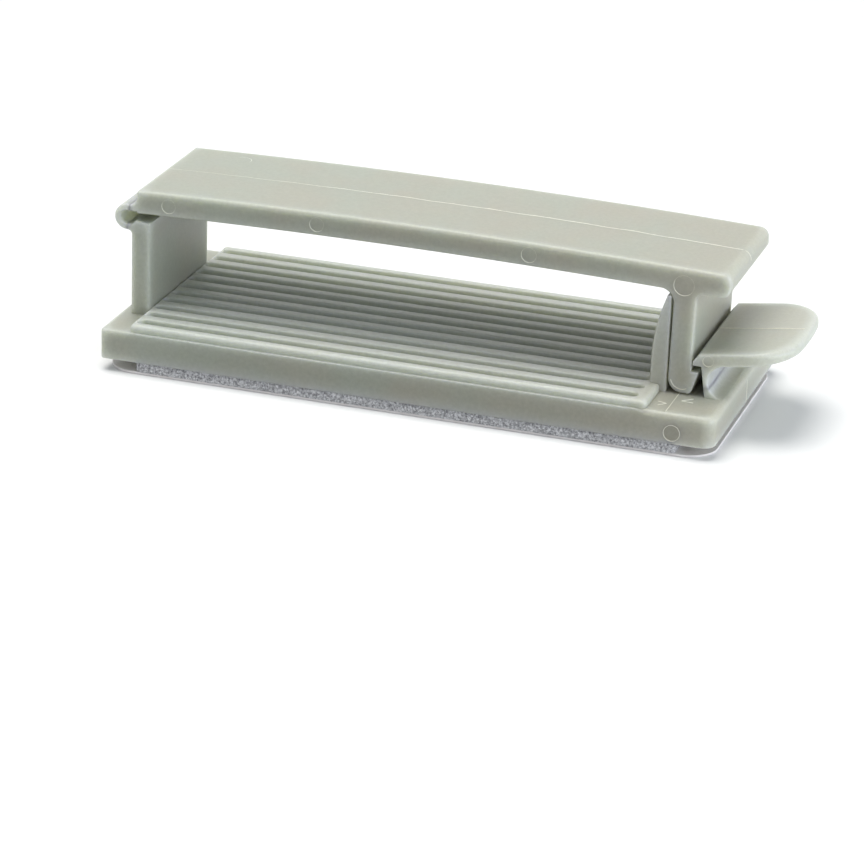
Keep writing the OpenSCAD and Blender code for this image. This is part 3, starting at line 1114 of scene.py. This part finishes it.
def disc(name, centre, radius, body):
    """A flat pin mark on a front face, a little darker than the face around it: partly the mark's
    own tone and partly painted shade of its shallow recess.
    """
    circle = arc(0, 0, 1, 0, 360 - 360 / DISC_POINTS, DISC_POINTS - 1)
    rim = [centre + Vector((p.x, 0, p.y)) * radius for p in circle]
    lift = Y_AXIS * -DISC_LIFT
    vertices = [p + lift for p in rim] + [p - lift for p in rim]
    near, far = range(DISC_POINTS), range(DISC_POINTS, 2 * DISC_POINTS)
    faces = [tuple(near), tuple(reversed(far))]
    bridge(faces, near, far)
    return mesh_object(name, vertices, faces, body, disc_tone_and_shade_nylon)


def bar(name, a, b, width, height):
    """A straight low ridge between two points on the base's top."""
    a, b = Vector((*a, base_top)), Vector((*b, base_top))
    run = (b - a).normalized()
    side = Z_AXIS.cross(run)
    ends = [a, a + run * width, b - run * width, b]
    heights = [0.0, height, height, 0.0]
    return ridge(name, ends, [width] * 4, heights, "holder", [side] * 4, [Z_AXIS] * 4)


ARROW_W = 0.11
ARROW_H = 0.04
INSERT_X = 25.75
INSERT_W = 0.08
INSERT_H = 0.015

# Pin marks on the strap's front: name, X, Z and radius
STRAP_PINS = [
    ("strap_pin_a", -25.61, 15.64, 0.7),
    ("strap_pin_b", -10.5, 15.9, 0.7),
    ("strap_pin_c", 10.57, 15.8, 0.74),
    ("strap_pin_d", 25.59, 14.93, 0.98),
]
BASE_PIN_R = 0.78
TOP_PIN_X = -22.95


def arrow(name, tip, ends):
    for i, end in enumerate(ends):
        bar(name + str(i), tip, end, ARROW_W, ARROW_H)


def moulding_marks():
    strap_flash()
    tab_flash()
    upright_flash("base_right_flash", base_hi.x, base_z + SHARP_R, base_top - BASE_EDGE_R, 1)
    upright_flash("base_left_flash", base_lo.x, base_z + SHARP_R, base_top - BASE_EDGE_R, -1)
    upright_flash("post_flash", post_x, base_top + 0.1, hinge_z - hinge_r - HINGE_FILLET, -1)
    front = -half_clip
    for name, x, z, radius in STRAP_PINS:
        ring(name, Vector((x, front, z)), radius, "strap")
    ring("leg_pin", Vector((25.91, front, 5.77)), 1.05, "strap", 190, 300, least=0.4)
    base_pin = Vector((26.5, -half_base, 2.3))
    ring("base_pin", base_pin, BASE_PIN_R, "holder", least=0.6)
    disc("base_pin_face", base_pin, BASE_PIN_R - 0.03, "holder")
    ring("tab_pin", Vector((28.35, front, 7.85)), 0.52, "catch")
    top_pin = Vector((TOP_PIN_X, 5.0, strap_under(TOP_PIN_X) + STRAP_T))
    ring("top_pin", top_pin, 0.95, "strap", -75, 125, up=Y_AXIS, strong=20)
    insert_y = half_base - BASE_EDGE_R * 0.8
    near_end, far_end = (INSERT_X - 0.03, -insert_y), (INSERT_X + 0.05, insert_y)
    bar("insert_line", near_end, far_end, INSERT_W, INSERT_H)
    arrow("arrow_right", (26.4, -9.4), [(27.4, -8.5), (27.6, -9.5)])
    arrow("arrow_left", (25.3, -10.55), [(24.4, -10.3), (24.6, -11.25)])


moulding_marks()


# Camera, at the photograph's place

CAMERA_MM = Vector((98.75, -319.2, 127.3))
CAMERA_AZIMUTH = 17.301
CAMERA_ELEVATION = 21.836
CAMERA_ROLL = 2.144
FOCAL_PX = 3659.0
PHOTO_PX = 864
SENSOR_MM = 36.0


def photo_camera():
    a, e = math.radians(CAMERA_AZIMUTH), math.radians(CAMERA_ELEVATION)
    back = Vector((math.sin(a) * math.cos(e), -math.cos(a) * math.cos(e), math.sin(e)))
    right = Vector((math.cos(a), math.sin(a), 0))
    up = back.cross(right)
    roll = Matrix.Rotation(math.radians(CAMERA_ROLL), 3, back)
    right, up = roll @ right, roll @ up
    data = bpy.data.cameras.new("camera")
    data.sensor_width = SENSOR_MM
    data.lens = FOCAL_PX * SENSOR_MM / PHOTO_PX
    data.clip_start = 0.01
    camera = bpy.data.objects.new("camera", data)
    camera.matrix_world = Matrix(
        (
            (right.x, up.x, back.x, CAMERA_MM.x * MM),
            (right.y, up.y, back.y, CAMERA_MM.y * MM),
            (right.z, up.z, back.z, CAMERA_MM.z * MM),
            (0, 0, 0, 1),
        )
    )
    bpy.context.scene.collection.objects.link(camera)
    bpy.context.scene.camera = camera


photo_camera()


# Light, floor and background

AMBIENT_COLOUR = (0.91, 0.95, 1, 1)
AMBIENT_STRENGTH = 0.41
# Lamps: name, place, width, power and colour
LAMPS = [
    ("key", (-70, 0, 430), 340, 1.56, (1.0, 0.99, 0.955)),
    ("right", (430, -50, 110), 260, 1.06, (0.85, 0.92, 1.0)),
]
LAMP_TARGET = (0, 0, 8)


def soft_lamp(name, place_mm, size_mm, power, colour):
    data = bpy.data.lights.new(name, "AREA")
    data.color = colour
    data.shape = "DISK"
    data.size = size_mm * MM
    data.energy = power
    lamp = bpy.data.objects.new(name, data)
    lamp.location = Vector(place_mm) * MM
    direction = Vector(LAMP_TARGET) * MM - lamp.location
    lamp.rotation_mode = "QUATERNION"
    lamp.rotation_quaternion = direction.to_track_quat("-Z", "Y")
    bpy.context.scene.collection.objects.link(lamp)


def seen_directly(nodes, links):
    """1 for rays that the camera sees, also in gloss and through clear matter."""
    path = nodes.new("ShaderNodeLightPath")
    total = path.outputs["Is Camera Ray"]
    for name in ("Is Glossy Ray", "Is Transmission Ray"):
        add = add_node(nodes, "ShaderNodeMath", operation="MAXIMUM")
        links.new(total, add.inputs[0])
        links.new(path.outputs[name], add.inputs[1])
        total = add.outputs[0]
    return total


def world():
    scene = bpy.context.scene
    scene.world = bpy.data.worlds.new("studio")
    scene.world.use_nodes = True
    nodes, links = scene.world.node_tree.nodes, scene.world.node_tree.links
    nodes.clear()
    out = nodes.new("ShaderNodeOutputWorld")
    ambient = add_node(
        nodes, "ShaderNodeBackground", {"Color": AMBIENT_COLOUR, "Strength": AMBIENT_STRENGTH}
    )
    white = add_node(nodes, "ShaderNodeBackground", {"Color": (1, 1, 1, 1), "Strength": 1.0})
    mix = nodes.new("ShaderNodeMixShader")
    links.new(seen_directly(nodes, links), mix.inputs[0])
    links.new(ambient.outputs[0], mix.inputs[1])
    links.new(white.outputs[0], mix.inputs[2])
    links.new(mix.outputs[0], out.inputs[0])


# The dark strip of table, which runs forwards as the photo's cables do: its slant, the middle
# of its width at Y = 0, and pairs of places where it begins and is full
FILL_SLANT = 0.39
FILL_X = 6.0
FILL_NEAR_Y = (-10, -22)
FILL_FAR_Y = (-95, -60)
FILL_SIDE = (42, 20)


def fade_node(nodes, places_mm):
    """Runs from 0 at the first of two places to 1 at the second."""
    return add_node(nodes, "ShaderNodeMapRange", {1: places_mm[0] * MM, 2: places_mm[1] * MM})


def dark_fill(nodes, links, axes):
    """1 over the strip of table in front that throws back little light, and 0 elsewhere."""
    slant = add_node(
        nodes, "ShaderNodeMath", {1: -FILL_SLANT, 2: -FILL_X * MM}, operation="MULTIPLY_ADD"
    )
    across = add_node(nodes, "ShaderNodeMath", operation="ADD")
    near = fade_node(nodes, FILL_NEAR_Y)
    far = fade_node(nodes, FILL_FAR_Y)
    aside = add_node(nodes, "ShaderNodeMath", operation="ABSOLUTE")
    beside = fade_node(nodes, FILL_SIDE)
    strip = add_node(nodes, "ShaderNodeMath", operation="MULTIPLY")
    patch = add_node(nodes, "ShaderNodeMath", operation="MULTIPLY")
    links.new(axes.outputs["Y"], slant.inputs[0])
    links.new(axes.outputs["X"], across.inputs[0])
    links.new(slant.outputs[0], across.inputs[1])
    links.new(axes.outputs["Y"], near.inputs["Value"])
    links.new(axes.outputs["Y"], far.inputs["Value"])
    links.new(across.outputs[0], aside.inputs[0])
    links.new(aside.outputs[0], beside.inputs["Value"])
    links.new(near.outputs["Result"], strip.inputs[0])
    links.new(far.outputs["Result"], strip.inputs[1])
    links.new(strip.outputs[0], patch.inputs[0])
    links.new(beside.outputs["Result"], patch.inputs[1])
    return patch.outputs[0]


TABLE_HALF = 900.0
TABLE_DROP = 0.02
TABLE_SEEN = 0.97
TABLE_BOUNCE = 0.86
FILL_BOUNCE = 0.2
TABLE_FADE = (70, 190)


def grey(value):
    return (value, value, value, 1)


def floor_sheet():
    """A pale table. The camera sees it even, with the object's shadow, and white far away."""
    material, nodes, links, shader = new_material("floor")
    place = nodes.new("ShaderNodeTexCoord")
    axes = nodes.new("ShaderNodeSeparateXYZ")
    reach = add_node(nodes, "ShaderNodeVectorMath", operation="LENGTH")
    fade = fade_node(nodes, TABLE_FADE)
    path = nodes.new("ShaderNodeLightPath")
    bounce = add_node(nodes, "ShaderNodeMix", data_type="RGBA")
    bounce.inputs[6].default_value = grey(TABLE_BOUNCE)
    bounce.inputs[7].default_value = grey(FILL_BOUNCE)
    tone = add_node(nodes, "ShaderNodeMix", data_type="RGBA")
    tone.inputs[7].default_value = grey(TABLE_SEEN)
    share = add_node(nodes, "ShaderNodeMath", operation="MULTIPLY")
    white = add_node(nodes, "ShaderNodeEmission", {"Strength": 1.0})
    mix = nodes.new("ShaderNodeMixShader")
    out = next(node for node in nodes if node.type == "OUTPUT_MATERIAL")
    links.new(place.outputs["Object"], axes.inputs["Vector"])
    links.new(place.outputs["Object"], reach.inputs[0])
    links.new(dark_fill(nodes, links, axes), bounce.inputs[0])
    links.new(path.outputs["Is Camera Ray"], tone.inputs[0])
    links.new(bounce.outputs[2], tone.inputs[6])
    links.new(tone.outputs[2], shader.inputs["Base Color"])
    links.new(reach.outputs["Value"], fade.inputs["Value"])
    links.new(fade.outputs["Result"], share.inputs[0])
    links.new(path.outputs["Is Camera Ray"], share.inputs[1])
    links.new(share.outputs[0], mix.inputs[0])
    links.new(shader.outputs[0], mix.inputs[1])
    links.new(white.outputs[0], mix.inputs[2])
    links.new(mix.outputs[0], out.inputs["Surface"])
    shader.inputs["Roughness"].default_value = 0.9
    corners = [(-1, -1), (1, -1), (1, 1), (-1, 1)]
    vertices = [Vector((x * TABLE_HALF, y * TABLE_HALF, -TABLE_DROP)) * MM for x, y in corners]
    data = bpy.data.meshes.new("floor")
    data.from_pydata(vertices, [], [(0, 1, 2, 3)])
    data.materials.append(material)
    sheet = bpy.data.objects.new("floor", data)
    bpy.context.scene.collection.objects.link(sheet)


world()
floor_sheet()
for lamp_settings in LAMPS:
    soft_lamp(*lamp_settings)

bpy.context.scene.view_settings.view_transform = "Standard"
